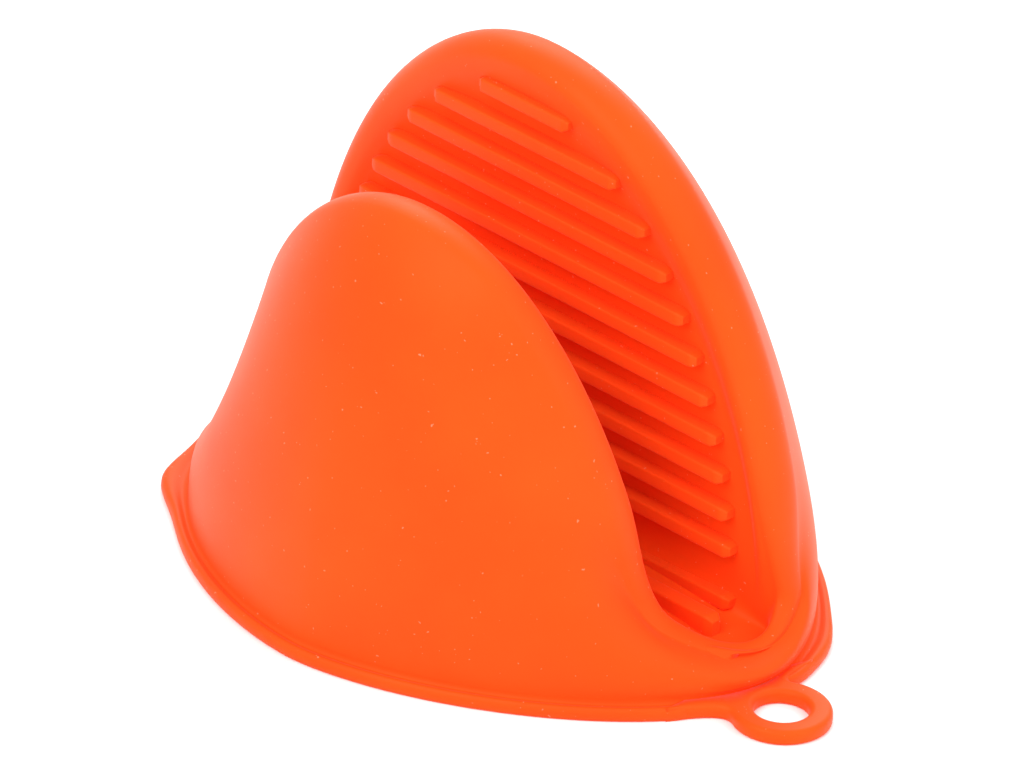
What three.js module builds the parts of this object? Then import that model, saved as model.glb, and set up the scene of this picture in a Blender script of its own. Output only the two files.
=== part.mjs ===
// Silicone pinch mitt, standing on its open rim with the mouth upward.
// Millimetres, +Z up. The origin is on the resting plane under the middle of the part's own box.
// +X runs along the fold towards the hanging ring, +Y is the finger side, -Y the thumb side.
//
// The mitt is one moulding. It is cut here into the regions that do different work, so that the
// thumb half can turn on the thin web at the bottom of the fold.

import * as THREE from 'three';
import { mergeVertices } from 'three/addons/utils/BufferGeometryUtils.js';

// ---- driving dimensions -------------------------------------------------------------------

const WALL = 2.2;               // silicone sheet thickness
const GAP = 0.3;                // space left between neighbouring solids

const BODY_LENGTH = 107.2;      // along X, just above the rim flange
const BODY_DEPTH = 86;          // along Y, just above the rim flange
const LOBE_MIDDLE = 2.4;        // how far the lobes' middle lies from the body's, away from the ring
// Superellipse powers of the rim outline: towards the ring it is blunter on the finger side.
const RING_END_POWER = { finger: 1.8, thumb: 1.6 };
const FAR_END_POWER = { finger: 1.85, thumb: 1.85 };

const FLANGE_OVERHANG = 2.2;    // how far the rim flange stands out from the body
const FLANGE_HEIGHT = 2;
const FLANGE_WIDTH = 5;
const FLANGE_SPLIT_Y = 9.3;     // the finger half's flange runs this far round onto the thumb side

const LIP_HALF_DEPTH = 4.2;     // lip section, across the mouth
const LIP_HALF_HEIGHT = 3;      // lip section, outwards from the lobe
const LIP_TURN = 35;            // degrees past the crest where the outer shell takes over
const LIP_THINNING = 0.75;      // sheet thickness of a lip shrunk to nothing, as a share
const LIP_END_ANGLE = 2;        // degrees of sweep left free at each end of a lip
const SHELL_END_Y = 8.8;        // a shell's foot ends this far from the fold's middle
const SHELL_LEAVE = 0.16;       // how far a shell keeps the lip's slope, as a share of its height
const SHELL_END_BULGE = 0.3;    // how much more upright a shell starts at its two ends
const SHELL_END_LEAN = 3;       // and how far it aims outwards there
const LIP_PROUD = 1.2;          // the lip's front stands this far out of the grip wall's plane
const FACE_FADE = 1.6;          // and the wall takes up that step within this distance
const CORNER_SCALE = 0.55;      // the lip is this much smaller at the mouth corners
const CORNER_RISE = 24;         // and reaches its full size this far above them
const CORNER_Z = 6.4;           // height of the lip's centre line at the mouth corners
const CORNER_INSET = 4;         // of a mouth corner from the end of the body
const CORNER_OPEN = 6;          // the lips part to their full distance within this rise
const CORNER_FLARE = 14;        // the higher, the sooner the lips leave the corner for the arch
const CORNER_HALF_WIDTH = 6.6;  // of the saddle that closes the fold at each corner
const CORNER_FOOT_HALF_WIDTH = 8.2; // and of its foot on the rim flange
const CORNER_CREST = 2.4;       // how far that saddle's curve aims above the fold's floor
const CORNER_SIDE_RISE = 2.4;   // and how far its sides rise again towards the lips

const FOLD_FLOOR_Z = 4.8;       // top of the web that floors the fold
const FOLD_MIDDLE_Y = 1.4;      // middle of that floor
const FOLD_INSET = 5;           // from a mouth corner to the end of the fold's floor

const RIB_PITCH = 6.2;
const RIB_HEIGHT = 2.3;
const RIB_PROUD = 2.4;
const RIB_DRAFT = 1.2;          // each end of a rib slopes in by this much towards its front
const RIB_TOP_MARGIN = 2.6;     // from the lip's centre line to the top of the highest rib
const FOOT_RIB_Z = 7.2;         // middle of the rib at the foot of each wall
const RIB_ROW_Z = 16.5;         // middle of the lowest rib of the evenly spaced row above it
const SHORTEST_RIB_HALF = 6;    // half the length below which a rib is left out
const FLOOR_RIB_WIDTH = 2.8;
const FLOOR_RIB_HEIGHT = 3.2;
const FLOOR_RIB_INSET = 2.8;    // from the end of the fold's floor

const RING_OUTER_RADIUS = 7.8;
const RING_HOLE_RADIUS = 4.1;
const RING_REACH = 5.9;         // from the end of the body line to the ring's centre
const RING_CENTRE_Y = -3;
const NOTCH_DEPTH = 1.7;        // the flange is this much narrower beside the ring
const NOTCH_HALF_WIDTH = 6;     // for this far to both sides of the ring's centre
const NOTCH_RUN_OUT = 6;        // and gets its full width back over this distance
const RING_THICKNESS = 2.4;
const NECK_HALF_WIDTH = 13;     // where the neck runs into the flange
const NECK_MEET = 120;          // degrees round the ring where the neck's sides leave it
const NECK_BEND = 0.7;          // how far the neck's sides follow the flange before they turn out
const NECK_ROOT_STEPS = 20;     // straight pieces along the neck's root

// The two ends of the body, both measured from the lobes' middle: bodyHalf to the body line,
// cornerHalf to the mouth corner and foldHalf to the end of the fold's floor.
function bodyEnd(sign, power) {
  const bodyHalf = BODY_LENGTH / 2 + sign * LOBE_MIDDLE;
  const cornerHalf = bodyHalf - CORNER_INSET;
  return { sign, power, bodyHalf, cornerHalf, foldHalf: cornerHalf - FOLD_INSET };
}
const RING_END = bodyEnd(1, RING_END_POWER);
const FAR_END = bodyEnd(-1, FAR_END_POWER);
const endOf = (x) => (x < 0 ? FAR_END : RING_END);
const planPower = (end, y) => (y < 0 ? end.power.thumb : end.power.finger);

const RING_CENTRE_X = RING_END.bodyHalf + RING_REACH;

// The two lobes. arch is the superellipse of the lip, a little narrower towards the far end.
// wallFoot, wallLean and wallCurve give the grip wall's distance from the middle plane by height,
// bulge is how upright the shell starts, and ribMargin is kept from the lip's centre line.
const FINGER = {
  name: 'finger', side: 1, height: 87.2, archPower: 1.95,
  archHalf: RING_END.cornerHalf - 4, farNarrowing: 2.5,
  wallFoot: 8.7, wallLean: -0.037, wallCurve: -0.00055, bulge: 0.45,
  ribMargin: 5.6, footRibInset: 5,
};
const THUMB = {
  name: 'thumb', side: -1, height: 69.3, archPower: 2.05,
  archHalf: RING_END.cornerHalf - 15, farNarrowing: 1.5,
  wallFoot: 4.3, wallLean: 0.258, wallCurve: -0.0005, bulge: 0.5,
  ribMargin: 8.5, footRibInset: 9.5,
};

// The part's own box runs from the far end of the flange to the ring's outer side.
const MIDDLE_X = (RING_CENTRE_X + RING_OUTER_RADIUS - FAR_END.bodyHalf - FLANGE_OVERHANG) / 2;

// ---- materials ----------------------------------------------------------------------------

const ORANGE = 0xfe5325;
const shellMaterial = new THREE.MeshStandardMaterial({ color: ORANGE, roughness: 0.55, metalness: 0 });
const gripMaterial = new THREE.MeshStandardMaterial({ color: ORANGE, roughness: 0.5, metalness: 0 });
const ribMaterial = new THREE.MeshStandardMaterial({ color: ORANGE, roughness: 0.45, metalness: 0 });
const rimMaterial = new THREE.MeshStandardMaterial({ color: ORANGE, roughness: 0.5, metalness: 0 });

// ---- shared shape rules -------------------------------------------------------------------

const mix = THREE.MathUtils.lerp;
const rise = (t) => THREE.MathUtils.smoothstep(t, 0, 1);
const signedPower = (value, power) => Math.sign(value) * Math.abs(value) ** power;

// A point of the rim outline, inset from the body line by the given distance.
function planPoint(angle, inset, z, side) {
  const end = endOf(Math.cos(angle));
  const power = 2 / planPower(end, side * Math.sin(angle));
  return new THREE.Vector3(
    (end.bodyHalf - inset) * signedPower(Math.cos(angle), power),
    side * (BODY_DEPTH / 2 - inset) * signedPower(Math.sin(angle), power),
    z,
  );
}

// The angle, from the fold's line, at which the body line reaches y at one end.
function planAngle(end, y) {
  return Math.asin((Math.abs(y) / (BODY_DEPTH / 2)) ** (planPower(end, y) / 2));
}

// How far out that outline is at one end, where it is y away from the fold.
function planReach(end, y, inset) {
  const part = Math.abs(y) / (BODY_DEPTH / 2 - inset);
  const power = planPower(end, y);
  return (end.bodyHalf - inset) * (1 - part ** power) ** (1 / power);
}

// How far the flange stands out from the body line, where it is y away from the fold: it is
// notched beside the hanging ring, so that the ring's hole has sheet all round it.
function flangeOverhang(end, y) {
  if (end === FAR_END) return FLANGE_OVERHANG;
  const beside = (Math.abs(y - RING_CENTRE_Y) - NOTCH_HALF_WIDTH) / NOTCH_RUN_OUT;
  return FLANGE_OVERHANG - NOTCH_DEPTH * (1 - rise(beside));
}

// Distance of a grip wall's front from the middle plane, at height z.
function wallOffset(lobe, z) {
  return lobe.wallFoot + lobe.wallLean * z + lobe.wallCurve * z * z;
}

// The lip's centre line at an angle from one mouth corner (0) over the tip to the other (PI),
// with the direction that points out of the lobe and the lip's size there.
function lipFrame(lobe, angle) {
  const power = 2 / lobe.archPower;
  const archHeight = lobe.height - LIP_HALF_HEIGHT - CORNER_Z;
  const across = signedPower(Math.cos(angle), power);
  const up = signedPower(Math.sin(angle), power);
  const z = CORNER_Z + archHeight * up;
  const scale = mix(CORNER_SCALE, 1, rise((z - CORNER_Z) / CORNER_RISE));
  const parting = Math.sqrt(1 - Math.max(1 - (z - CORNER_Z) / CORNER_OPEN, 0) ** 2);
  const end = endOf(across);
  const archHalf = lobe.archHalf - (end === FAR_END ? lobe.farNarrowing : 0);
  const flare = end.sign * (end.cornerHalf - archHalf) * (1 - up) ** CORNER_FLARE;
  const behindWall = wallOffset(lobe, z) + LIP_HALF_DEPTH - LIP_PROUD;
  const centre = new THREE.Vector3(
    archHalf * across + flare,
    mix(FOLD_MIDDLE_Y, lobe.side * behindWall, parting),
    z,
  );
  const outward = new THREE.Vector3(
    signedPower(across, lobe.archPower - 1) / archHalf,
    0,
    signedPower(up, lobe.archPower - 1) / archHeight,
  ).normalize();
  return { centre, outward, scale };
}

// A point of the lip's skin: turn 0 is the crest, +90 degrees faces away from the mouth and
// -90 degrees faces into it. inset goes into the sheet.
function lipPoint(lobe, angle, turn, inset) {
  const { centre, outward, scale } = lipFrame(lobe, angle);
  return centre.clone()
    .addScaledVector(outward, (LIP_HALF_HEIGHT * scale - inset) * Math.cos(turn))
    .add(new THREE.Vector3(0, lobe.side * (LIP_HALF_DEPTH * scale - inset) * Math.sin(turn), 0));
}

// A closed solid: a unit box, cut into cells, whose every point (u, v, w) goes to place(u, v, w).
// The solid is turned right side out if the mapping has mirrored it.
function warpedBox(cellsU, cellsV, cellsW, place) {
  const box = new THREE.BoxGeometry(1, 1, 1, cellsU, cellsV, cellsW);
  box.deleteAttribute('normal');
  box.deleteAttribute('uv');
  const solid = mergeVertices(box, 1e-5);
  const position = solid.attributes.position;
  for (let i = 0; i < position.count; i += 1) {
    const point = place(position.getX(i) + 0.5, position.getY(i) + 0.5, position.getZ(i) + 0.5);
    position.setXYZ(i, point.x, point.y, point.z);
  }
  if (signedVolume(solid) < 0) {
    const index = solid.index;
    for (let i = 0; i < index.count; i += 3) {
      const second = index.getX(i + 1);
      index.setX(i + 1, index.getX(i + 2));
      index.setX(i + 2, second);
    }
  }
  return solid;
}

function signedVolume(geometry) {
  const { index } = geometry;
  const { position } = geometry.attributes;
  const corners = [new THREE.Vector3(), new THREE.Vector3(), new THREE.Vector3()];
  let volume = 0;
  for (let i = 0; i < index.count; i += 3) {
    corners.forEach((corner, k) => corner.fromBufferAttribute(position, index.getX(i + k)));
    volume += corners[0].dot(corners[1].clone().cross(corners[2])) / 6;
  }
  return volume;
}

function addMesh(group, name, geometry, material) {
  geometry.translate(-MIDDLE_X, 0, 0);
  geometry.computeVertexNormals();
  const mesh = new THREE.Mesh(geometry, material);
  mesh.name = name;
  group.add(mesh);
  return mesh;
}

// ---- lobe pieces --------------------------------------------------------------------------

const END_ANGLE = THREE.MathUtils.degToRad(LIP_END_ANGLE);
const SHELL_TURN = THREE.MathUtils.degToRad(LIP_TURN);
const FACE_TURN = THREE.MathUtils.degToRad(-90);

// The angle along a lip for u from 0 to 1, with shorter steps near the mouth corners.
const SWEEP_BUNCHING = 0.1;
const sweep = (u) => mix(
  END_ANGLE,
  Math.PI - END_ANGLE,
  u - SWEEP_BUNCHING * Math.sin(2 * Math.PI * u),
);

// The outer back of a lobe: from the rim flange up to the lip.
function shellGeometry(lobe) {
  const footZ = FLANGE_HEIGHT + GAP;
  return warpedBox(40, 12, 1, (u, v, w) => {
    const angle = sweep(u);
    const inset = WALL * w;
    const top = lipPoint(lobe, angle, SHELL_TURN, inset);
    const endY = lobe.side * SHELL_END_Y;
    const footAngle = mix(planAngle(RING_END, endY), Math.PI - planAngle(FAR_END, endY), u);
    const foot = planPoint(footAngle, inset, footZ, lobe.side);
    const { outward } = lipFrame(lobe, angle);
    const leave = new THREE.Vector3(0, lobe.side * Math.cos(SHELL_TURN), 0)
      .addScaledVector(outward, -Math.sin(SHELL_TURN));
    const reach = top.distanceTo(foot);
    const endness = Math.cos(footAngle) ** 4;
    const upright = (top.z - footZ) * (lobe.bulge + SHELL_END_BULGE * endness);
    const aside = SHELL_END_LEAN * endness * Math.sign(Math.cos(footAngle));
    const curve = new THREE.CubicBezierCurve3(
      foot,
      foot.clone().add(new THREE.Vector3(aside, 0, upright)),
      top.clone().addScaledVector(leave, reach * SHELL_LEAVE),
      top,
    );
    return curve.getPoint(v);
  });
}

// The rounded lip around the mouth face of a lobe.
function lipGeometry(lobe) {
  return warpedBox(44, 6, 1, (u, v, w) => {
    const angle = sweep(u);
    const start = SHELL_TURN - GAP / LIP_HALF_DEPTH / CORNER_SCALE;
    const thickness = WALL * mix(LIP_THINNING, 1, lipFrame(lobe, angle).scale);
    return lipPoint(lobe, angle, mix(start, FACE_TURN, v), thickness * w);
  });
}

// The inner wall that grips: from the lip down to the web. Its first row of cells takes up the
// step between the lip's front and the wall's plane. Its foot keeps the lip's share of the width.
function wallGeometry(lobe) {
  const rows = 8;
  const cornerX = (end) => {
    const angle = end === RING_END ? END_ANGLE : Math.PI - END_ANGLE;
    return Math.abs(lipFrame(lobe, angle).centre.x);
  };
  return warpedBox(32, rows, 1, (u, v, w) => {
    const angle = sweep(u);
    const { centre, outward } = lipFrame(lobe, angle);
    const edge = lipPoint(lobe, angle, FACE_TURN, 0).addScaledVector(outward, -GAP);
    const end = endOf(centre.x);
    const foot = new THREE.Vector3(
      end.foldHalf * centre.x / cornerX(end),
      edge.y,
      FOLD_FLOOR_Z + GAP,
    );
    const fade = Math.min(FACE_FADE / edge.distanceTo(foot), 0.5);
    const row = v * rows;
    const down = row < 1 ? row * fade : mix(fade, 1, (row - 1) / (rows - 1));
    const point = edge.clone().lerp(foot, down);
    const front = row < 1 ? mix(Math.abs(edge.y), wallOffset(lobe, point.z), row)
      : wallOffset(lobe, point.z);
    point.y = lobe.side * (front + WALL * w);
    return point;
  });
}

// Half the length of a rib whose middle is at height z: its upper corners stay inside an arch
// that keeps the two margins to the lip's centre line.
function ribHalfLength(lobe, z) {
  const archHeight = lobe.height - LIP_HALF_HEIGHT - CORNER_Z - RIB_TOP_MARGIN;
  const level = (z + RIB_HEIGHT / 2 - CORNER_Z) / archHeight;
  return (lobe.archHalf - lobe.ribMargin) * (1 - level ** lobe.archPower) ** (1 / lobe.archPower);
}

// One grip rib: a straight bar standing on the wall, its ends sloping in. It reaches from
// farEnd to ringEnd along X.
function ribGeometry(lobe, z, farEnd, ringEnd) {
  return warpedBox(6, 1, 1, (u, v, w) => {
    const height = z + (v - 0.5) * RIB_HEIGHT;
    const front = wallOffset(lobe, height) - GAP - RIB_PROUD * w;
    const x = mix(farEnd + RIB_DRAFT * w, ringEnd - RIB_DRAFT * w, u);
    return new THREE.Vector3(x, lobe.side * front, height);
  });
}

// One half's share of the turned-out rim flange that the mitt stands on. The finger half's goes
// round both ends, under the saddles; the thumb half's lies between its two cut ends.
function rimGeometry(lobe) {
  const cutY = FLANGE_SPLIT_Y - lobe.side * GAP / 2;
  const cutAngle = (end) => -lobe.side * planAngle(end, -cutY);
  return warpedBox(72, 1, 1, (u, v, w) => {
    const angle = mix(cutAngle(RING_END), Math.PI - cutAngle(FAR_END), u);
    const edge = planPoint(angle, -FLANGE_OVERHANG, 0, lobe.side);
    const inset = mix(-flangeOverhang(endOf(edge.x), edge.y), FLANGE_WIDTH - FLANGE_OVERHANG, w);
    return planPoint(angle, inset, FLANGE_HEIGHT * v, lobe.side);
  });
}

// Height and both ends of every rib of a lobe: the foot rib, then the evenly spaced row for as
// long as the arch leaves room for one.
function ribRow(lobe) {
  const foot = (end) => end.sign * (end.foldHalf - lobe.footRibInset);
  const row = [[FOOT_RIB_Z, foot(FAR_END), foot(RING_END)]];
  for (let z = RIB_ROW_Z; ribHalfLength(lobe, z) > SHORTEST_RIB_HALF; z += RIB_PITCH) {
    row.push([z, -ribHalfLength(lobe, z), ribHalfLength(lobe, z)]);
  }
  return row;
}

function addLobe(group, lobe) {
  addMesh(group, `${lobe.name}_shell`, shellGeometry(lobe), shellMaterial);
  addMesh(group, `${lobe.name}_lip`, lipGeometry(lobe), shellMaterial);
  addMesh(group, `${lobe.name}_grip_wall`, wallGeometry(lobe), gripMaterial);
  addMesh(group, `${lobe.name}_rim`, rimGeometry(lobe), rimMaterial);
  ribRow(lobe).forEach((rib, i) => {
    const number = String(i + 1).padStart(2, '0');
    addMesh(group, `${lobe.name}_rib_${number}`, ribGeometry(lobe, ...rib), ribMaterial);
  });
}

// ---- fold and ring ------------------------------------------------------------------------

// The thin web that joins the two grip walls at the bottom of the fold.
function webGeometry() {
  const fingerEdge = wallOffset(FINGER, FOLD_FLOOR_Z) + WALL;
  const thumbEdge = wallOffset(THUMB, FOLD_FLOOR_Z) + WALL;
  return warpedBox(8, 4, 1, (u, v, w) => new THREE.Vector3(
    mix(-FAR_END.foldHalf, RING_END.foldHalf, u),
    mix(-thumbEdge, fingerEdge, v),
    FOLD_FLOOR_Z - WALL * w,
  ));
}

// The saddle that closes the fold at a mouth corner: it runs from the web's end over a rounded
// crest and down to the rim flange. Its underside has a crest of its own, since the bend is
// tighter than the sheet is thick.
function cornerGeometry(end) {
  return warpedBox(9, 8, 1, (u, v, w) => {
    const across = (v - 0.5) * 2;
    const y = mix(FOLD_MIDDLE_Y, 0, u * u)
      + across * mix(CORNER_HALF_WIDTH, CORNER_FOOT_HALF_WIDTH, u * u);
    const under = WALL * w;
    const footX = planReach(end, y, 0) - under;
    const crestZ = FOLD_FLOOR_Z + CORNER_CREST - under;
    const path = new THREE.CubicBezierCurve(
      new THREE.Vector2(end.foldHalf + GAP, FOLD_FLOOR_Z - under),
      new THREE.Vector2(end.cornerHalf - under, crestZ),
      new THREE.Vector2(footX, crestZ),
      new THREE.Vector2(footX, FLANGE_HEIGHT + GAP),
    );
    const point = path.getPoint(u);
    const sides = CORNER_SIDE_RISE * Math.abs(across) ** 3 * Math.sin(Math.PI * u);
    return new THREE.Vector3(end.sign * point.x, y, point.y + sides);
  });
}

// The upright rib along the middle of the fold's floor.
function floorRibGeometry() {
  const reach = (end, w) => end.sign * (end.foldHalf - FLOOR_RIB_INSET - RIB_DRAFT * w);
  return warpedBox(6, 1, 1, (u, v, w) => new THREE.Vector3(
    mix(reach(FAR_END, w), reach(RING_END, w), u),
    FOLD_MIDDLE_Y + (v - 0.5) * FLOOR_RIB_WIDTH,
    FOLD_FLOOR_Z + GAP + FLOOR_RIB_HEIGHT * w,
  ));
}

// The hanging ring with the flared neck that joins it to the rim flange.
function ringGeometry() {
  const flangeEdge = (y) => (
    new THREE.Vector2(planReach(RING_END, y, -flangeOverhang(RING_END, y) - GAP), y)
  );
  const meet = THREE.MathUtils.degToRad(NECK_MEET);
  const leaves = (sign) => new THREE.Vector2(
    RING_CENTRE_X + RING_OUTER_RADIUS * Math.cos(meet),
    RING_CENTRE_Y + sign * RING_OUTER_RADIUS * Math.sin(meet),
  );
  const root = (sign) => flangeEdge(RING_CENTRE_Y + sign * NECK_HALF_WIDTH);
  const bend = (sign) => {
    const start = root(sign);
    const along = flangeEdge(start.y - sign).sub(start);
    return start.addScaledVector(along, NECK_BEND * Math.abs(leaves(sign).y - start.y));
  };
  const outline = new THREE.Shape();
  outline.moveTo(root(-1).x, root(-1).y);
  outline.quadraticCurveTo(bend(-1).x, bend(-1).y, leaves(-1).x, leaves(-1).y);
  outline.absarc(RING_CENTRE_X, RING_CENTRE_Y, RING_OUTER_RADIUS, -meet, meet, false);
  outline.quadraticCurveTo(bend(1).x, bend(1).y, root(1).x, root(1).y);
  for (let step = 1; step < NECK_ROOT_STEPS; step += 1) {
    const y = RING_CENTRE_Y + mix(NECK_HALF_WIDTH, -NECK_HALF_WIDTH, step / NECK_ROOT_STEPS);
    outline.lineTo(flangeEdge(y).x, y);
  }
  outline.closePath();
  const hole = new THREE.Path();
  hole.absarc(RING_CENTRE_X, RING_CENTRE_Y, RING_HOLE_RADIUS, 0, Math.PI * 2, true);
  outline.holes.push(hole);
  return new THREE.ExtrudeGeometry(outline, {
    depth: RING_THICKNESS, bevelEnabled: false, curveSegments: 16,
  });
}

// ---- the whole mitt -----------------------------------------------------------------------

const group = new THREE.Group();
addLobe(group, FINGER);
addLobe(group, THUMB);
addMesh(group, 'fold_web', webGeometry(), gripMaterial);
addMesh(group, 'fold_rib', floorRibGeometry(), ribMaterial);
addMesh(group, 'ring_corner', cornerGeometry(RING_END), gripMaterial);
addMesh(group, 'far_corner', cornerGeometry(FAR_END), gripMaterial);
addMesh(group, 'hanging_ring', ringGeometry(), rimMaterial);

export default group;
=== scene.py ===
import math

import bmesh
import bpy
import numpy as np
from mathutils import Matrix, Vector
from mathutils.geometry import delaunay_2d_cdt


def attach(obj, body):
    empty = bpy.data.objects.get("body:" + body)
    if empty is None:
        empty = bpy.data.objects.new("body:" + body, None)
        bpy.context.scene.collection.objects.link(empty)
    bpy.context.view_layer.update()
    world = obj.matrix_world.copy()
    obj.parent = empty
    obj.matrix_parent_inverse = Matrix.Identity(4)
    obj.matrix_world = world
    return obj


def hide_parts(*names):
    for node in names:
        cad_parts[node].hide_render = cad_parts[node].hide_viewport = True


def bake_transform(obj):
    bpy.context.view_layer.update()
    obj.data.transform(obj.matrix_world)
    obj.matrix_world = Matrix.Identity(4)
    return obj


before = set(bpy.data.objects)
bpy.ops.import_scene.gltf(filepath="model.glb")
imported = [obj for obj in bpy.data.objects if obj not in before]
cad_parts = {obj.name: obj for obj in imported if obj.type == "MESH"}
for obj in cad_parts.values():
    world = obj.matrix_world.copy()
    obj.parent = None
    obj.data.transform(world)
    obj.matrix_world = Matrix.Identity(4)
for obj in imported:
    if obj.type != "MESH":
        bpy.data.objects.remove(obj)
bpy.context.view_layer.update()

MM = 0.001


# ---- silicone --------------------------------------------------------------------------------
# One moulded silicone rubber for the whole mitt: pigmented orange through and through, with the
# soft satin skin that a lightly blasted mould leaves, a few fibres of dust, and no print.

class Socket:
    """A shader value that ordinary arithmetic can be written with."""

    def __init__(self, tree, output):
        self.tree = tree
        self.output = output

    def node(self, kind, inputs, out=0, **settings):
        made = self.tree.nodes.new(kind)
        for key, value in settings.items():
            setattr(made, key, value)
        for key, value in inputs.items():
            if isinstance(value, Socket):
                self.tree.links.new(value.output, made.inputs[key])
            else:
                made.inputs[key].default_value = value
        return Socket(self.tree, made.outputs[out])

    def math(self, operation, *values):
        return self.node("ShaderNodeMath", dict(enumerate(values)), operation=operation)

    def __add__(self, other):
        return self.math("ADD", self, other)

    def __radd__(self, other):
        return self.math("ADD", other, self)

    def __sub__(self, other):
        return self.math("SUBTRACT", self, other)

    def __rsub__(self, other):
        return self.math("SUBTRACT", other, self)

    def __mul__(self, other):
        return self.math("MULTIPLY", self, other)

    def __rmul__(self, other):
        return self.math("MULTIPLY", other, self)

    def noise(self, scale, detail=2.0):
        inputs = {"Vector": self, "Scale": scale, "Detail": detail}
        return self.node("ShaderNodeTexNoise", inputs)

    def ramp(self, low, high, to_low=0.0, to_high=1.0):
        inputs = {
            "Value": self,
            "From Min": low,
            "From Max": high,
            "To Min": to_low,
            "To Max": to_high,
        }
        return self.node("ShaderNodeMapRange", inputs)

    def blend(self, first, second):
        inputs = {0: self, 6: first, 7: second}
        return self.node("ShaderNodeMix", inputs, out=2, data_type="RGBA")


def silicone_material(name, base, deep):
    material = bpy.data.materials.new(name)
    material.use_nodes = True
    tree = material.node_tree
    shader = tree.nodes["Principled BSDF"]
    place = Socket(tree, tree.nodes.new("ShaderNodeTexCoord").outputs["Object"])
    cloud = place.noise(38.0, 3.0)
    grain = place.noise(2600.0, 2.0)
    speck = place.noise(1500.0, 1.0).ramp(0.76, 0.775)
    colour = cloud.ramp(0.35, 0.65).blend(base, deep)
    dusty = (speck * 0.22).blend(colour, (1.0, 0.62, 0.42, 1.0))
    rough = cloud.ramp(0.3, 0.7, 0.44, 0.5) + grain * 0.04
    bump = place.node(
        "ShaderNodeBump",
        {"Strength": 0.2, "Distance": 0.00006, "Height": grain + cloud * 0.5},
    )
    tree.links.new(dusty.output, shader.inputs["Base Color"])
    tree.links.new(rough.output, shader.inputs["Roughness"])
    tree.links.new(bump.output, shader.inputs["Normal"])
    shader.inputs["IOR"].default_value = 1.42
    shader.inputs["Specular IOR Level"].default_value = 0.2
    shader.inputs["Specular Tint"].default_value = (1.0, 0.62, 0.36, 1.0)
    shader.inputs["Sheen Weight"].default_value = 0.08
    shader.inputs["Sheen Roughness"].default_value = 0.4
    shader.inputs["Sheen Tint"].default_value = (1.0, 0.82, 0.74, 1.0)
    shader.inputs["Subsurface Weight"].default_value = 0.0
    return material


silicone = silicone_material(
    "silicone_orange", (0.97, 0.078, 0.007, 1.0), (0.95, 0.068, 0.006, 1.0),
)


# ---- the moulded skin ------------------------------------------------------------------------
# The whole mitt but for its ribs and ring is one sheet of silicone, 2.2 mm thick: two hollow
# lobes that share a thin web at the bottom of the fold and a turned-out flange at the rim.
# The sheet rolls over at the mouth of each lobe in a soft lip and runs on round both corners.

WALL = 2.2
BODY_LENGTH = 107.2
BODY_DEPTH = 86.0
LOBE_MIDDLE = 2.4
# Superellipse powers of the rim outline by end and by side of the fold.
END_POWER = {(1, 1): 1.8, (1, -1): 1.6, (-1, 1): 1.85, (-1, -1): 1.85}
CORNER_INSET = 4.0
FOLD_INSET = 5.0
FOLD_FLOOR_Z = 4.8
FOLD_MIDDLE_Y = 1.4
CORNER_Z = 6.4
CORNER_RISE = 24.0
CORNER_SCALE = 0.55
CORNER_OPEN = 6.0
CORNER_FLARE = 14
LIP_HALF_DEPTH = 4.2
LIP_HALF_HEIGHT = 3.0
LIP_PROUD = 1.2
FACE_FADE = 9.0
FLANGE_OVERHANG = 2.2
RING_CENTRE = (61.9, -3.0)

BODY_HALF = {sign: BODY_LENGTH / 2 + sign * LOBE_MIDDLE for sign in (1, -1)}
CORNER_HALF = {sign: BODY_HALF[sign] - CORNER_INSET for sign in (1, -1)}
FOLD_HALF = {sign: CORNER_HALF[sign] - FOLD_INSET for sign in (1, -1)}
MIDDLE_X = (RING_CENTRE[0] + 7.8 - BODY_HALF[-1] - FLANGE_OVERHANG) / 2

FINGER = {
    "side": 1, "height": 87.2, "arch": 48.0, "far_narrowing": 2.5, "power": 1.95,
    "foot": 8.7, "lean": -0.037, "curve": -0.00055, "bulge": 0.45,
    "rib_margin": 5.6, "foot_rib": 5.0,
}
THUMB = {
    "side": -1, "height": 69.3, "arch": 37.0, "far_narrowing": 1.5, "power": 2.05,
    "foot": 4.3, "lean": 0.258, "curve": -0.0005, "bulge": 0.5,
    "rib_margin": 8.5, "foot_rib": 9.5,
}


def mix(a, b, t):
    return a + (b - a) * t


def smooth(t):
    t = np.clip(t, 0.0, 1.0)
    return t * t * (3 - 2 * t)


def signed_power(value, power):
    return np.sign(value) * np.abs(value) ** power


def wall_offset(lobe, z):
    return lobe["foot"] + lobe["lean"] * z + lobe["curve"] * z * z


def plan_power(end, y):
    return END_POWER[end, -1 if y < 0 else 1]


def plan_point(angle, inset, z, side):
    end = 1 if math.cos(angle) >= 0 else -1
    power = 2 / plan_power(end, side * math.sin(angle))
    return np.array([
        (BODY_HALF[end] - inset) * signed_power(math.cos(angle), power),
        side * (BODY_DEPTH / 2 - inset) * signed_power(math.sin(angle), power),
        z,
    ])


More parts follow.
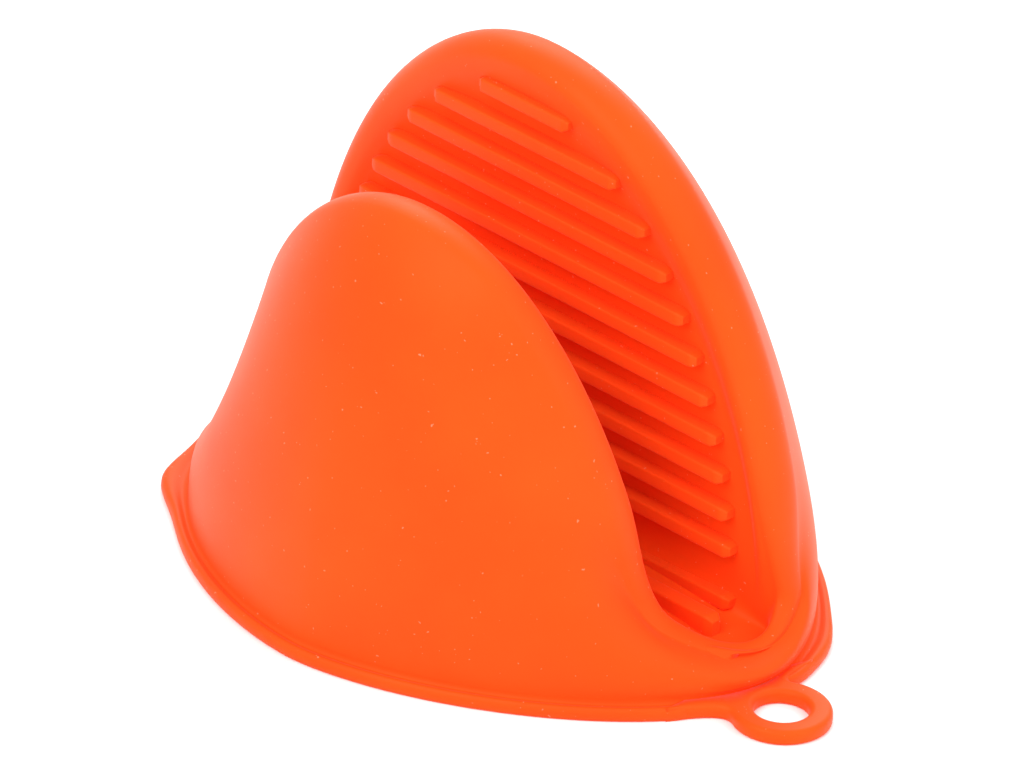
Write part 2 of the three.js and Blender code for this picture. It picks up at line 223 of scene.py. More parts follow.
def lip_frame(lobe, angle):
    arch_height = lobe["height"] - LIP_HALF_HEIGHT - CORNER_Z
    across = signed_power(math.cos(angle), 2 / lobe["power"])
    up = signed_power(math.sin(angle), 2 / lobe["power"])
    z = CORNER_Z + arch_height * up
    scale = mix(CORNER_SCALE, 1.0, smooth((z - CORNER_Z) / CORNER_RISE))
    parting = math.sqrt(1 - max(1 - (z - CORNER_Z) / CORNER_OPEN, 0) ** 2)
    end = 1 if across >= 0 else -1
    arch = lobe["arch"] - (lobe["far_narrowing"] if end < 0 else 0.0)
    flare = end * (CORNER_HALF[end] - arch) * (1 - up) ** CORNER_FLARE
    behind = wall_offset(lobe, z) + LIP_HALF_DEPTH - LIP_PROUD
    centre = np.array([
        arch * across + flare,
        mix(FOLD_MIDDLE_Y, lobe["side"] * behind, parting),
        z,
    ])
    outward = np.array([
        signed_power(across, lobe["power"] - 1) / arch,
        0.0,
        signed_power(up, lobe["power"] - 1) / arch_height,
    ])
    return centre, outward / np.linalg.norm(outward), scale


def lip_point(lobe, angle, turn):
    centre, outward, scale = lip_frame(lobe, angle)
    point = centre + outward * LIP_HALF_HEIGHT * scale * math.cos(turn)
    point[1] += lobe["side"] * LIP_HALF_DEPTH * scale * math.sin(turn)
    return point


# The flange's section from its lower outer edge over the bead and into the crease at the foot:
# distance outside the body line and height.
FLANGE_ROWS = [
    (2.05, 0.0), (2.3, 0.25), (2.42, 0.8), (2.4, 1.5), (2.2, 2.0), (1.8, 2.25), (1.35, 2.2),
    (0.95, 1.95), (0.6, 1.85), (0.3, 2.0), (0.12, 2.3),
]
SHELL_ROWS = 40
LIP_ROWS = 16
WALL_ROWS = 30
COLUMNS = 132
CORNER_COLUMNS = 22
SHELL_TURN = math.radians(35)
FACE_TURN = math.radians(-90)
END_ANGLE = math.radians(2)
SWEEP_BUNCHING = 0.1
FOOT_END_Y = 8.8
SHELL_FOOT_Z = 2.7
SHELL_LEAVE = 0.16
SHELL_END_BULGE = 0.3
SHELL_END_LEAN = 3.0
FADE_SHARE = 0.7

# The flange is narrower beside the ring. At one soft point on each side it is wider: the extra
# share of its width and the angle round the rim in degrees, by side.
NOTCH_SHARE = 0.77
NOTCH_HALF_WIDTH = 6.0
NOTCH_RUN_OUT = 6.0
SOFT_POINTS = {-1: (0.95, 150.0), 1: (0.4, 24.0)}
SOFT_POINT_SPREAD = 8.0


def plan_angle(end, y):
    return math.asin((abs(y) / (BODY_DEPTH / 2)) ** (plan_power(end, y) / 2))


def flange_share(lobe, angle):
    """The share of its full width that the flange has at an angle round the rim."""
    degrees = math.degrees(angle)
    point = plan_point(angle, -FLANGE_OVERHANG, 0.0, lobe["side"])
    share = 1.0
    if point[0] > 0:
        beside = (abs(point[1] - RING_CENTRE[1]) - NOTCH_HALF_WIDTH) / NOTCH_RUN_OUT
        share -= NOTCH_SHARE * (1 - smooth(beside))
    extra, place = SOFT_POINTS[lobe["side"]]
    share += extra * math.exp(-(((degrees - place) / SOFT_POINT_SPREAD) ** 2))
    return share


def sweep_angle(u):
    """The angle along a lip for u from 0 to 1, with shorter steps near the mouth corners."""
    bunched = u - SWEEP_BUNCHING * math.sin(2 * math.pi * u)
    return mix(END_ANGLE, math.pi - END_ANGLE, bunched)


def lobe_column(lobe, u):
    """Every point of the outer skin from the flange's lower edge to the wall's foot."""
    angle = sweep_angle(u)
    end_y = lobe["side"] * FOOT_END_Y
    foot_angle = mix(plan_angle(1, end_y), math.pi - plan_angle(-1, end_y), u)
    share = flange_share(lobe, foot_angle)
    points = [plan_point(foot_angle, -out * share, z, lobe["side"]) for out, z in FLANGE_ROWS]
    foot = plan_point(foot_angle, 0.0, SHELL_FOOT_Z, lobe["side"])
    top = lip_point(lobe, angle, SHELL_TURN)
    _, outward, _ = lip_frame(lobe, angle)
    leave = -outward * math.sin(SHELL_TURN)
    leave[1] += lobe["side"] * math.cos(SHELL_TURN)
    endness = math.cos(foot_angle) ** 4
    aside = SHELL_END_LEAN * endness * (1 if math.cos(foot_angle) > 0 else -1)
    rise = np.array([aside, 0.0, (top[2] - foot[2]) * (lobe["bulge"] + SHELL_END_BULGE * endness)])
    handle_low = foot + rise
    handle_high = top + leave * np.linalg.norm(top - foot) * SHELL_LEAVE
    for row in range(SHELL_ROWS):
        t = row / SHELL_ROWS
        points.append(
            foot * (1 - t) ** 3
            + handle_low * 3 * t * (1 - t) ** 2
            + handle_high * 3 * t * t * (1 - t)
            + top * t ** 3
        )
    for row in range(LIP_ROWS):
        points.append(lip_point(lobe, angle, mix(SHELL_TURN, FACE_TURN, row / LIP_ROWS)))
    edge = lip_point(lobe, angle, FACE_TURN)
    centre, _, _ = lip_frame(lobe, angle)
    end = 1 if centre[0] >= 0 else -1
    corner, _, _ = lip_frame(lobe, END_ANGLE if end > 0 else math.pi - END_ANGLE)
    base = np.array([FOLD_HALF[end] * centre[0] / abs(corner[0]), 0.0, FOLD_FLOOR_Z])
    base[1] = lobe["side"] * wall_offset(lobe, FOLD_FLOOR_Z)
    length = np.linalg.norm(edge - base)
    for row in range(WALL_ROWS):
        t = row / WALL_ROWS
        point = mix(edge, base, t)
        flat = lobe["side"] * wall_offset(lobe, point[2])
        point[1] = mix(edge[1], flat, smooth(t * length / min(FACE_FADE, length * FADE_SHARE)))
        points.append(point)
    return np.array(points)


def bridge(before, start, finish, after, steps):
    """Smooth curves that carry on from before-start and run into finish-after."""
    out_of = start - before
    into = after - finish
    out_of /= np.linalg.norm(out_of, axis=1)[:, None]
    into /= np.linalg.norm(into, axis=1)[:, None]
    chord = np.linalg.norm(finish - start, axis=1)[:, None]
    turn = np.arccos(np.clip((out_of * into).sum(axis=1), -0.999, 0.999))[:, None]
    reach = chord * 2 * np.tan(turn / 4) / np.sin(turn / 2)
    rows = []
    for step in range(1, steps):
        t = step / steps
        rows.append(
            start * (2 * t ** 3 - 3 * t * t + 1)
            + out_of * reach * (t ** 3 - 2 * t * t + t)
            + finish * (3 * t * t - 2 * t ** 3)
            + into * reach * (t ** 3 - t * t)
        )
    return rows


def skin_columns():
    thumb = [lobe_column(THUMB, i / COLUMNS) for i in range(COLUMNS + 1)]
    finger = [lobe_column(FINGER, i / COLUMNS) for i in range(COLUMNS + 1)]
    far = bridge(thumb[-2], thumb[-1], finger[-1], finger[-2], CORNER_COLUMNS)
    near = bridge(finger[1], finger[0], thumb[0], thumb[1], CORNER_COLUMNS)
    return thumb + far + finger[::-1] + near


columns = np.array(skin_columns())
column_count, row_count = columns.shape[:2]
vertices = [tuple(p) for p in columns.reshape(-1, 3)]
faces = []
for i in range(column_count):
    j = (i + 1) % column_count
    for row in range(row_count - 1):
        a = i * row_count + row
        b = j * row_count + row
        faces.append((a, b, b + 1, a + 1))

# The web: a grid from the thumb's foot line to the finger's, its ends on the corners' last row.
last = row_count - 1
thumb_foot = [i * row_count + last for i in range(COLUMNS + 1)]
far_edge = [i * row_count + last for i in range(COLUMNS + 1, COLUMNS + CORNER_COLUMNS)]
finger_first = COLUMNS + CORNER_COLUMNS
finger_foot = [(finger_first + COLUMNS - i) * row_count + last for i in range(COLUMNS + 1)]
near_first = finger_first + COLUMNS + 1
near_edge = [i * row_count + last for i in range(near_first, column_count)][::-1]
web = [[thumb_foot[0]] + near_edge + [finger_foot[0]]]
for i in range(1, COLUMNS):
    line = [thumb_foot[i]]
    start = np.array(vertices[thumb_foot[i]])
    finish = np.array(vertices[finger_foot[i]])
    for step in range(1, CORNER_COLUMNS):
        point = mix(start, finish, step / CORNER_COLUMNS)
        line.append(len(vertices))
        vertices.append(tuple(point))
    line.append(finger_foot[i])
    web.append(line)
web.append([thumb_foot[-1]] + far_edge + [finger_foot[-1]])
for i in range(COLUMNS):
    for step in range(CORNER_COLUMNS):
        faces.append((web[i][step], web[i + 1][step], web[i + 1][step + 1], web[i][step + 1]))

# The fold's inner corners are eased: points near the walls' feet, and those of the two corner
# patches, move towards their neighbours.
EASED_ROWS = 11
EASING_FADE = 8.0
EASING_PASSES = 26
EASING_STEP = 0.5
BRIDGE_FIRST_ROW = 14
BRIDGE_MARGIN = 3
BRIDGE_FREEDOM = 0.8
grid_count = column_count * row_count
edges = np.array(sorted({tuple(sorted(e)) for f in faces for e in zip(f, f[1:] + f[:1])}))
points = np.array(vertices)
row_of = np.arange(grid_count) % row_count
freedom = np.ones(len(points))
freedom[:grid_count] = smooth((row_of - (row_count - EASED_ROWS)) / EASING_FADE)
bridging = np.zeros((column_count, row_count))
far_from = COLUMNS + 1 - BRIDGE_MARGIN
far_to = COLUMNS + CORNER_COLUMNS + BRIDGE_MARGIN
bridging[far_from:far_to, BRIDGE_FIRST_ROW:] = 1.0
bridging[near_first - BRIDGE_MARGIN:, BRIDGE_FIRST_ROW:] = 1.0
bridging[:BRIDGE_MARGIN, BRIDGE_FIRST_ROW:] = 1.0
freedom[:grid_count] = np.maximum(freedom[:grid_count], bridging.ravel() * BRIDGE_FREEDOM)
neighbours = np.zeros(len(points))
np.add.at(neighbours, edges[:, 0], 1)
np.add.at(neighbours, edges[:, 1], 1)
for _ in range(EASING_PASSES):
    total = np.zeros_like(points)
    np.add.at(total, edges[:, 0], points[edges[:, 1]])
    np.add.at(total, edges[:, 1], points[edges[:, 0]])
    points += (total / neighbours[:, None] - points) * (EASING_STEP * freedom)[:, None]
vertices = [tuple(p) for p in points]

# The inner skin lies a sheet's thickness below the outer one. It leaves out the flange, whose
# flat underside closes the sheet at the bottom. Towards the lips the sheet gets thinner.
# HEEL_ROWS closes it at the heel: distance out from the inner skin's foot and height.
LIP_SHEET = 0.68
BRIDGE_SHEET = 0.85
LIP_SHEET_ROWS = 6
LIP_SHEET_FADE = 8.0
HEEL_Z = 2.6
HEEL_ROWS = [(0.0, 0.5), (-0.12, 0.12), (-0.45, 0.0)]
outer = np.array(vertices)
outer_faces = np.array(faces)
corners = outer[outer_faces]
face_normals = np.cross(corners[:, 2] - corners[:, 0], corners[:, 3] - corners[:, 1])
normals = np.zeros_like(outer)
for k in range(4):
    np.add.at(normals, outer_faces[:, k], face_normals)
normals /= np.linalg.norm(normals, axis=1)[:, None]
foot_row = len(FLANGE_ROWS) - 1
foot_line = np.arange(column_count) * row_count + foot_row
middle = outer[foot_line].mean(axis=0)
if ((outer[foot_line] - middle) * normals[foot_line]).sum() < 0:
    normals = -normals
    outer_faces = outer_faces[:, ::-1]
lip_first = len(FLANGE_ROWS) + SHELL_ROWS
before_lip = lip_first - LIP_SHEET_ROWS - row_of
after_lip = row_of - (lip_first + LIP_ROWS + LIP_SHEET_ROWS)
near_lip = 1 - smooth(np.maximum(before_lip, after_lip) / LIP_SHEET_FADE)
lip_sheet = np.full((column_count, row_count), BRIDGE_SHEET)
for first, lobe, step in ((0, THUMB, 1), (COLUMNS + CORNER_COLUMNS, FINGER, -1)):
    for i in range(COLUMNS + 1):
        u = (i if step > 0 else COLUMNS - i) / COLUMNS
        lip_sheet[first + i] = LIP_SHEET * LIP_HALF_HEIGHT * lip_frame(lobe, sweep_angle(u))[2]
sheet = np.full(len(outer), WALL)
sheet[:grid_count] = mix(WALL, lip_sheet.ravel(), near_lip)
inner = outer - normals * sheet[:, None]
grid_index = np.arange(grid_count)
flange_part = grid_index[grid_index % row_count < foot_row]
inner[flange_part] = outer[flange_part]
inner_faces = outer_faces[~np.isin(outer_faces, flange_part).any(axis=1)][:, ::-1] + len(outer)
foot_plan = outer[foot_line].copy()
side_normals = normals[foot_line].copy()
side_normals[:, 2] = 0
side_normals /= np.linalg.norm(side_normals, axis=1)[:, None]
heel = foot_plan - side_normals * WALL
inner[foot_line] = np.column_stack([heel[:, :2], np.full(column_count, HEEL_Z)])
extra = []
for drop, z in HEEL_ROWS:
    extra.append(np.column_stack([(heel - side_normals * drop)[:, :2], np.full(column_count, z)]))
everything = np.vstack([outer, inner] + extra)
chain = [foot_line + len(outer)]
for k in range(len(extra)):
    chain.append(np.arange(column_count) + 2 * len(outer) + k * column_count)
chain.append(np.arange(column_count) * row_count)
closing = []
for upper, lower in zip(chain[:-1], chain[1:]):
    for i in range(column_count):
        j = (i + 1) % column_count
        closing.append((upper[i], upper[j], lower[j], lower[i]))
all_faces = [tuple(int(v) for v in f) for f in outer_faces]
all_faces += [tuple(int(v) for v in f) for f in inner_faces]
all_faces += [tuple(int(v) for v in f) for f in closing]


def mesh_object(name, points, polygons, material):
    """A smooth closed mesh from points in millimetres about the lobes' middle."""
    placed = (np.array(points, float) - (MIDDLE_X, 0.0, 0.0)) * MM
    mesh = bpy.data.meshes.new(name)
    mesh.from_pydata([tuple(p) for p in placed], [], polygons)
    work = bmesh.new()
    work.from_mesh(mesh)
    loose = [v for v in work.verts if not v.link_faces]
    bmesh.ops.delete(work, geom=loose, context="VERTS")
    bmesh.ops.remove_doubles(work, verts=work.verts, dist=1e-7)
    bmesh.ops.recalc_face_normals(work, faces=work.faces)
    work.to_mesh(mesh)
    work.free()
    mesh.polygons.foreach_set("use_smooth", [True] * len(mesh.polygons))
    mesh.materials.append(material)
    made = bpy.data.objects.new(name, mesh)
    bpy.context.scene.collection.objects.link(made)
    return made


skin = mesh_object("mitt_skin", everything, all_faces, silicone)
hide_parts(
    "finger_shell", "finger_lip", "finger_grip_wall", "finger_rim", "thumb_shell",
    "thumb_lip", "thumb_grip_wall", "thumb_rim", "fold_web", "ring_corner", "far_corner",
)
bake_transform(skin)


# ---- the grip ribs ---------------------------------------------------------------------------
# Bars of the same silicone moulded on both grip walls across the mouth, evenly spaced, each a
# little shorter than the arch above it, with eased edges and ends that slope in.

RIB_PITCH = 6.2
RIB_HEIGHT = 2.3
RIB_PROUD = 2.4
RIB_TOP_MARGIN = 2.6
FOOT_RIB_Z = 7.2
RIB_ROW_Z = 16.5
SHORTEST_RIB_HALF = 6.0
RIB_SUNK = 0.6
RIB_EDGE = 0.36
BAR_STEPS = 97
BAR_EDGE_STEPS = 4
BAR_END_SCALE = 0.6
BAR_END_RUN = 1.0


def bar_tree():
    """A straight bar whose section shrinks over the last millimetre at each end."""
    tree = bpy.data.node_groups.new("rounded_bar", "GeometryNodeTree")
    face = tree.interface
    face.new_socket("Geometry", in_out="INPUT", socket_type="NodeSocketGeometry")
    start = face.new_socket("Start", in_out="INPUT", socket_type="NodeSocketVector")
    finish = face.new_socket("Finish", in_out="INPUT", socket_type="NodeSocketVector")
    across = face.new_socket("Across", in_out="INPUT", socket_type="NodeSocketFloat")
    up = face.new_socket("Up", in_out="INPUT", socket_type="NodeSocketFloat")
    edge = face.new_socket("Edge", in_out="INPUT", socket_type="NodeSocketFloat")
    ends = face.new_socket("End Share", in_out="INPUT", socket_type="NodeSocketFloat")
    finish_material = face.new_socket("Material", in_out="INPUT", socket_type="NodeSocketMaterial")
    face.new_socket("Geometry", in_out="OUTPUT", socket_type="NodeSocketGeometry")
    nodes, links = tree.nodes, tree.links
    given = nodes.new("NodeGroupInput")
    result = nodes.new("NodeGroupOutput")

    def add(kind, **settings):
        made = nodes.new(kind)
        for key, value in settings.items():
            setattr(made, key, value)
        return made

    line = add("GeometryNodeCurvePrimitiveLine")
    links.new(given.outputs["Start"], line.inputs["Start"])
    links.new(given.outputs["Finish"], line.inputs["End"])
    finer = add("GeometryNodeResampleCurve")
    finer.inputs["Count"].default_value = BAR_STEPS
    links.new(line.outputs[0], finer.inputs["Curve"])
    along = add("GeometryNodeSplineParameter")
    # how far from the nearer end, 0 at the end and 1 at the middle
    from_end = add("ShaderNodeMath", operation="PINGPONG")
    from_end.inputs[1].default_value = 0.5
    links.new(along.outputs["Factor"], from_end.inputs[0])
    # the section's size: it grows from BAR_END_SCALE at the very end to 1
    grow = add("ShaderNodeMapRange", interpolation_type="SMOOTHERSTEP")
    grow.inputs["From Min"].default_value = 0.0
    grow.inputs["To Min"].default_value = BAR_END_SCALE
    grow.inputs["To Max"].default_value = 1.0
    links.new(from_end.outputs[0], grow.inputs["Value"])
    links.new(given.outputs["End Share"], grow.inputs["From Max"])
    section = add("GeometryNodeCurvePrimitiveQuadrilateral", mode="RECTANGLE")
    links.new(given.outputs["Across"], section.inputs["Width"])
    links.new(given.outputs["Up"], section.inputs["Height"])
    eased = add("GeometryNodeFilletCurve")
    eased.mode = "POLY"
    eased.inputs["Count"].default_value = BAR_EDGE_STEPS
    links.new(section.outputs[0], eased.inputs["Curve"])
    links.new(given.outputs["Edge"], eased.inputs["Radius"])
    sweep = add("GeometryNodeCurveToMesh")
    sweep.inputs["Fill Caps"].default_value = True
    links.new(finer.outputs[0], sweep.inputs["Curve"])
    links.new(eased.outputs[0], sweep.inputs["Profile Curve"])
    links.new(grow.outputs[0], sweep.inputs["Scale"])
    real = add("GeometryNodeRealizeInstances")
    links.new(sweep.outputs[0], real.inputs[0])
    painted = add("GeometryNodeSetMaterial")
    links.new(real.outputs[0], painted.inputs["Geometry"])
    links.new(given.outputs["Material"], painted.inputs["Material"])
    links.new(painted.outputs[0], result.inputs[0])
    keys = {
        "start": start, "finish": finish, "across": across, "up": up,
        "edge": edge, "ends": ends, "material": finish_material,
    }
    return tree, {name: item.identifier for name, item in keys.items()}


rounded_bar, bar_inputs = bar_tree()


def bar(name, start, finish, across, up, edge):
    """One rounded bar as a plain mesh, its ends given in millimetres about the lobes' middle."""
    holder = bpy.data.objects.new(name, bpy.data.meshes.new(name))
    bpy.context.scene.collection.objects.link(holder)
    modifier = holder.modifiers.new("bar", "NODES")
    modifier.node_group = rounded_bar
    shift = np.array([MIDDLE_X, 0.0, 0.0])
    length = abs(finish[0] - start[0])
    values = {
        "start": tuple((np.array(start) - shift) * MM),
        "finish": tuple((np.array(finish) - shift) * MM),
        "across": across * MM, "up": up * MM, "edge": edge * MM,
        "ends": BAR_END_RUN / length, "material": silicone,
    }
    for key, value in values.items():
        modifier[bar_inputs[key]] = value
    holder.update_tag()
    bpy.context.view_layer.update()
    shaped = holder.evaluated_get(bpy.context.evaluated_depsgraph_get())
    mesh = bpy.data.meshes.new_from_object(shaped)
    holder.modifiers.clear()
    holder.data = mesh
    work = bmesh.new()
    work.from_mesh(mesh)
    bmesh.ops.remove_doubles(work, verts=work.verts, dist=1e-7)
    bmesh.ops.recalc_face_normals(work, faces=work.faces)
    work.to_mesh(mesh)
    work.free()
    mesh.polygons.foreach_set("use_smooth", [True] * len(mesh.polygons))
    mesh.name = name
    return holder


def rib_half_length(lobe, z):
    arch_height = lobe["height"] - LIP_HALF_HEIGHT - CORNER_Z - RIB_TOP_MARGIN
    level = (z + RIB_HEIGHT / 2 - CORNER_Z) / arch_height
    if level >= 1:
        return 0.0
    return (lobe["arch"] - lobe["rib_margin"]) * (1 - level ** lobe["power"]) ** (1 / lobe["power"])


for label, lobe in (("finger", FINGER), ("thumb", THUMB)):
    low = -(FOLD_HALF[-1] - lobe["foot_rib"])
    high = FOLD_HALF[1] - lobe["foot_rib"]
    row = [(FOOT_RIB_Z, low, high)]
    z = RIB_ROW_Z
    while rib_half_length(lobe, z) > SHORTEST_RIB_HALF:
        row.append((z, -rib_half_length(lobe, z), rib_half_length(lobe, z)))
        z += RIB_PITCH
    for number, (z, low, high) in enumerate(row, 1):
        depth = RIB_PROUD + RIB_SUNK
        y = lobe["side"] * (wall_offset(lobe, z) - RIB_PROUD + depth / 2)
        name = f"{label}_rib_{number:02d}"
        rib = bar(f"grip_{name}", (low, y, z), (high, y, z), depth, RIB_HEIGHT, RIB_EDGE)
        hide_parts(name)
        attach(rib, f"{label}_half")


# ---- the fold rib ----------------------------------------------------------------------------
# An upright bar of the same silicone along the middle of the fold's floor, moulded on the web.
# It reaches nearly from end to end.

FLOOR_RIB_INSET = 2.8
FLOOR_RIB_WIDTH = 2.8
FLOOR_RIB_HEIGHT = 3.4
FLOOR_RIB_EDGE = 0.4
floor_rib_z = FOLD_FLOOR_Z + (FLOOR_RIB_HEIGHT - RIB_SUNK) / 2
fold_bar = bar(
    "fold_floor_rib",
    (-(FOLD_HALF[-1] - FLOOR_RIB_INSET), FOLD_MIDDLE_Y, floor_rib_z),
    (FOLD_HALF[1] - FLOOR_RIB_INSET, FOLD_MIDDLE_Y, floor_rib_z),
    FLOOR_RIB_WIDTH, FLOOR_RIB_HEIGHT + RIB_SUNK, FLOOR_RIB_EDGE,
)
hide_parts("fold_rib")
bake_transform(fold_bar)


# ---- the hanging ring ------------------------------------------------------------------------
# A flat ring at one corner of the rim, moulded with the flange: its neck flares out of the
# flange's edge, and all its edges are well rounded.

RING_OUTER = 7.8
RING_HOLE = 4.25
RING_TOP = 2.4
NECK_HALF_WIDTH = 13.5
NECK_SUNK = 2.6
NECK_SINK_RATE = 2.2
NECK_MEET = 118
NECK_ROOT_PULL = 0.42
NECK_RING_PULL = 0.34
NECK_STEPS = 16
NECK_ROOT_STEPS = 20
RING_STEPS = 48
HOLE_STEPS = 64
FLANGE_EDGE = 2.3
EDGE_RADIUS = 0.95
ROOT_EASE = 4.0


def plan_reach(y, inset):
    part = abs(y) / (BODY_DEPTH / 2 - inset)
    power = plan_power(1, y)
    return (BODY_HALF[1] - inset) * (1 - part ** power) ** (1 / power)


def ring_outline():
    """The neck's and ring's outer edge, anticlockwise from above, from root to root."""
    meet = math.radians(NECK_MEET)
    cx, cy = RING_CENTRE
    points = []
    for sign in (-1, 1):
        leave = np.array([
            cx + RING_OUTER * math.cos(meet),
            cy + sign * RING_OUTER * math.sin(meet),
        ])
        run = np.array([-math.sin(meet), sign * math.cos(meet)])
        root_y = cy + sign * NECK_HALF_WIDTH
        root = np.array([plan_reach(root_y, -FLANGE_EDGE), root_y])
        beside = np.array([plan_reach(root_y - sign, -FLANGE_EDGE), root_y - sign])
        tangent = (beside - root) / np.linalg.norm(beside - root)
        curve = []
        gap = np.linalg.norm(leave - root)
        first = root + tangent * gap * NECK_ROOT_PULL
        second = leave + run * gap * NECK_RING_PULL
        for step in range(NECK_STEPS + 1):
            t = step / NECK_STEPS
            curve.append(
                root * (1 - t) ** 3 + first * 3 * t * (1 - t) ** 2
                + second * 3 * t * t * (1 - t) + leave * t ** 3
            )
        if sign < 0:
            points += curve
            for step in range(1, RING_STEPS):
                angle = mix(-meet, meet, step / RING_STEPS)
                points.append(np.array([
                    cx + RING_OUTER * math.cos(angle),
                    cy + RING_OUTER * math.sin(angle),
                ]))
        else:
            points += curve[::-1]
    for step in range(1, NECK_ROOT_STEPS):
        y = mix(cy + NECK_HALF_WIDTH, cy - NECK_HALF_WIDTH, step / NECK_ROOT_STEPS)
        sunk = NECK_SINK_RATE * math.sin(math.pi * step / NECK_ROOT_STEPS)
        back = NECK_SUNK * min(1.0, sunk)
        points.append(np.array([plan_reach(y, -FLANGE_EDGE) - back, y]))
    return np.array(points)


def inward(loop):
    """Unit vectors that point into the material on the left of a closed loop."""
    along = np.roll(loop, -1, axis=0) - np.roll(loop, 1, axis=0)
    along /= np.linalg.norm(along, axis=1)[:, None]
    return np.column_stack([-along[:, 1], along[:, 0]])


outline = ring_outline()
hole_angles = np.linspace(0, -2 * math.pi, HOLE_STEPS, endpoint=False)
hole = np.column_stack([
    RING_CENTRE[0] + RING_HOLE * np.cos(hole_angles),
    RING_CENTRE[1] + RING_HOLE * np.sin(hole_angles),
])
EDGE_ROWS = [(0.0, 1.2)] + [
    (EDGE_RADIUS * (1 - math.cos(a)), RING_TOP - EDGE_RADIUS + EDGE_RADIUS * math.sin(a))
    for a in np.linspace(0, math.pi / 2, 7)[1:]
]
EDGE_ROWS = [(0.4, 0.0), (0.1, 0.2), (0.0, 0.55)] + EDGE_ROWS
ring_points = []
ring_faces = []
top_loops = []
bottom_loops = []
root_distance = np.abs(np.abs(outline[:, 1] - RING_CENTRE[1]) - NECK_HALF_WIDTH)
eased = smooth(root_distance / ROOT_EASE)
eased[-(NECK_ROOT_STEPS - 1):] = 0.0
for loop, share in ((outline, eased[:, None]), (hole, 1.0)):
    into = inward(loop) * share
    base = len(ring_points)
    for inset, z in EDGE_ROWS:
        ring_points += [(*p, z) for p in loop + into * inset]
    size = len(loop)
    for row in range(len(EDGE_ROWS) - 1):
        for i in range(size):
            j = (i + 1) % size
            a = base + row * size
            ring_faces.append((a + i, a + j, a + size + j, a + size + i))
    bottom_loops.append([base + i for i in range(size)])
    top_loops.append([base + (len(EDGE_ROWS) - 1) * size + i for i in range(size)])
for loops, hole_inset in ((top_loops, EDGE_ROWS[-1][0]), (bottom_loops, EDGE_ROWS[0][0])):
    chosen = [k for loop in loops for k in loop]
    flat = [Vector(ring_points[k][:2]) for k in chosen]
    rims = []
    first = 0
    for loop in loops:
        rims += [(first + i, first + (i + 1) % len(loop)) for i in range(len(loop))]
        first += len(loop)
    _, _, triangles, _, _, _ = delaunay_2d_cdt(flat, rims, [], 0, 1e-6)
    centre = Vector(RING_CENTRE)
    size = len(loops[0])
    for triangle in triangles:
        middle = sum((flat[k] for k in triangle), Vector((0, 0))) / 3
        if (middle - centre).length < RING_HOLE + hole_inset:
            continue
        inside = False
        for i in range(size):
            a, b = flat[i], flat[(i + 1) % size]
            if (a.y > middle.y) != (b.y > middle.y):
                if middle.x < a.x + (middle.y - a.y) * (b.x - a.x) / (b.y - a.y):
                    inside = not inside
        if inside:
            ring_faces.append(tuple(chosen[k] for k in triangle))
ring = mesh_object("moulded_ring", ring_points, ring_faces, silicone)
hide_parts("hanging_ring")
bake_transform(ring)


# ---- floor, light and camera -----------------------------------------------------------------
# A plain white table top and three large soft lights, with a pale sky all round. The camera
# stands far off with a long lens, so the mitt shows almost no perspective.

LAMP_AIM_Z = 0.04

ground = bpy.data.meshes.new("ground")
ground.from_pydata([(-4, -4, 0), (4, -4, 0), (4, 4, 0), (-4, 4, 0)], [], [(0, 1, 2, 3)])
ground_object = bpy.data.objects.new("ground", ground)
bpy.context.scene.collection.objects.link(ground_object)
ground_material = bpy.data.materials.new("ground_white")
ground_material.use_nodes = True
ground_shader = ground_material.node_tree.nodes["Principled BSDF"]
ground_shader.inputs["Base Color"].default_value = (0.9, 0.9, 0.9, 1.0)
ground_shader.inputs["Roughness"].default_value = 0.9
ground.materials.append(ground_material)


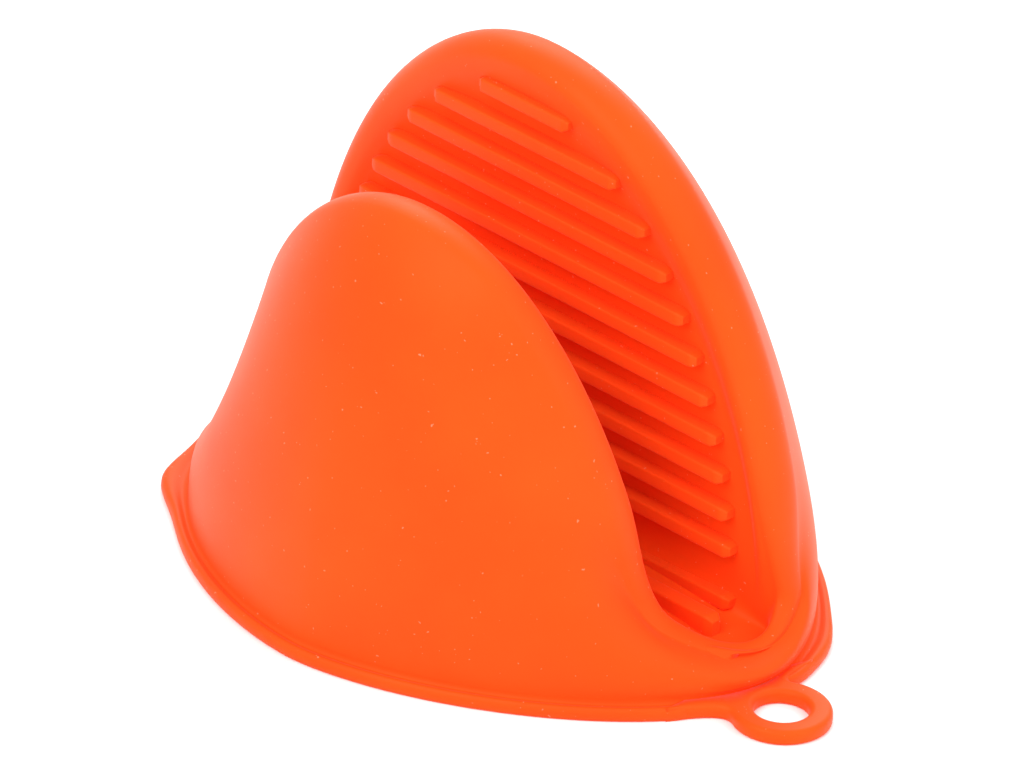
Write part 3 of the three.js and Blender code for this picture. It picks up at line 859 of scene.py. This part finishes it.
def area_light(name, azimuth, elevation, distance, size, power):
    """A square soft light that faces the mitt."""
    a, e = math.radians(azimuth), math.radians(elevation)
    way = Vector((math.sin(a) * math.cos(e), -math.cos(a) * math.cos(e), math.sin(e)))
    light = bpy.data.lights.new(name, "AREA")
    light.size = size
    light.energy = power
    lamp = bpy.data.objects.new(name, light)
    aim = way.to_track_quat("Z", "Y").to_matrix().to_4x4()
    lamp.matrix_world = Matrix.Translation(way * distance + Vector((0, 0, LAMP_AIM_Z))) @ aim
    bpy.context.scene.collection.objects.link(lamp)
    return lamp


key = area_light("key", 5, 48, 0.9, 0.7, 6.0)
fill = area_light("fill", 95, 35, 1.0, 0.9, 4.5)
back = area_light("back", 215, 40, 0.9, 0.7, 7.0)

world = bpy.data.worlds.new("studio")
world.use_nodes = True
world.node_tree.nodes["Background"].inputs["Color"].default_value = (1.0, 1.0, 1.0, 1.0)
world.node_tree.nodes["Background"].inputs["Strength"].default_value = 0.7
bpy.context.scene.world = world
bpy.context.scene.view_settings.view_transform = "Standard"

AZIMUTH, ELEVATION, ROLL = (math.radians(v) for v in (41.0, 30.5, 3.6))
DISTANCE = 4.0
LENS = 928.125
SENSOR_WIDTH = 36.0
AIM_RIGHT = 0.00294
AIM_UP = 0.0258
backward = Vector((
    math.sin(AZIMUTH) * math.cos(ELEVATION),
    -math.cos(AZIMUTH) * math.cos(ELEVATION),
    math.sin(ELEVATION),
))
level_right = Vector((math.cos(AZIMUTH), math.sin(AZIMUTH), 0.0))
level_up = backward.cross(level_right)
right = level_right * math.cos(ROLL) + level_up * math.sin(ROLL)
upward = level_up * math.cos(ROLL) - level_right * math.sin(ROLL)
camera_data = bpy.data.cameras.new("camera")
camera_data.sensor_width = SENSOR_WIDTH
camera_data.lens = LENS
camera_data.clip_end = 20.0
camera = bpy.data.objects.new("camera", camera_data)
place = backward * DISTANCE + right * AIM_RIGHT + upward * AIM_UP + Vector((-MIDDLE_X * MM, 0, 0))
camera.matrix_world = Matrix.Translation(place) @ Matrix(
    (right, upward, backward)
).transposed().to_4x4()
bpy.context.scene.collection.objects.link(camera)
bpy.context.scene.camera = camera
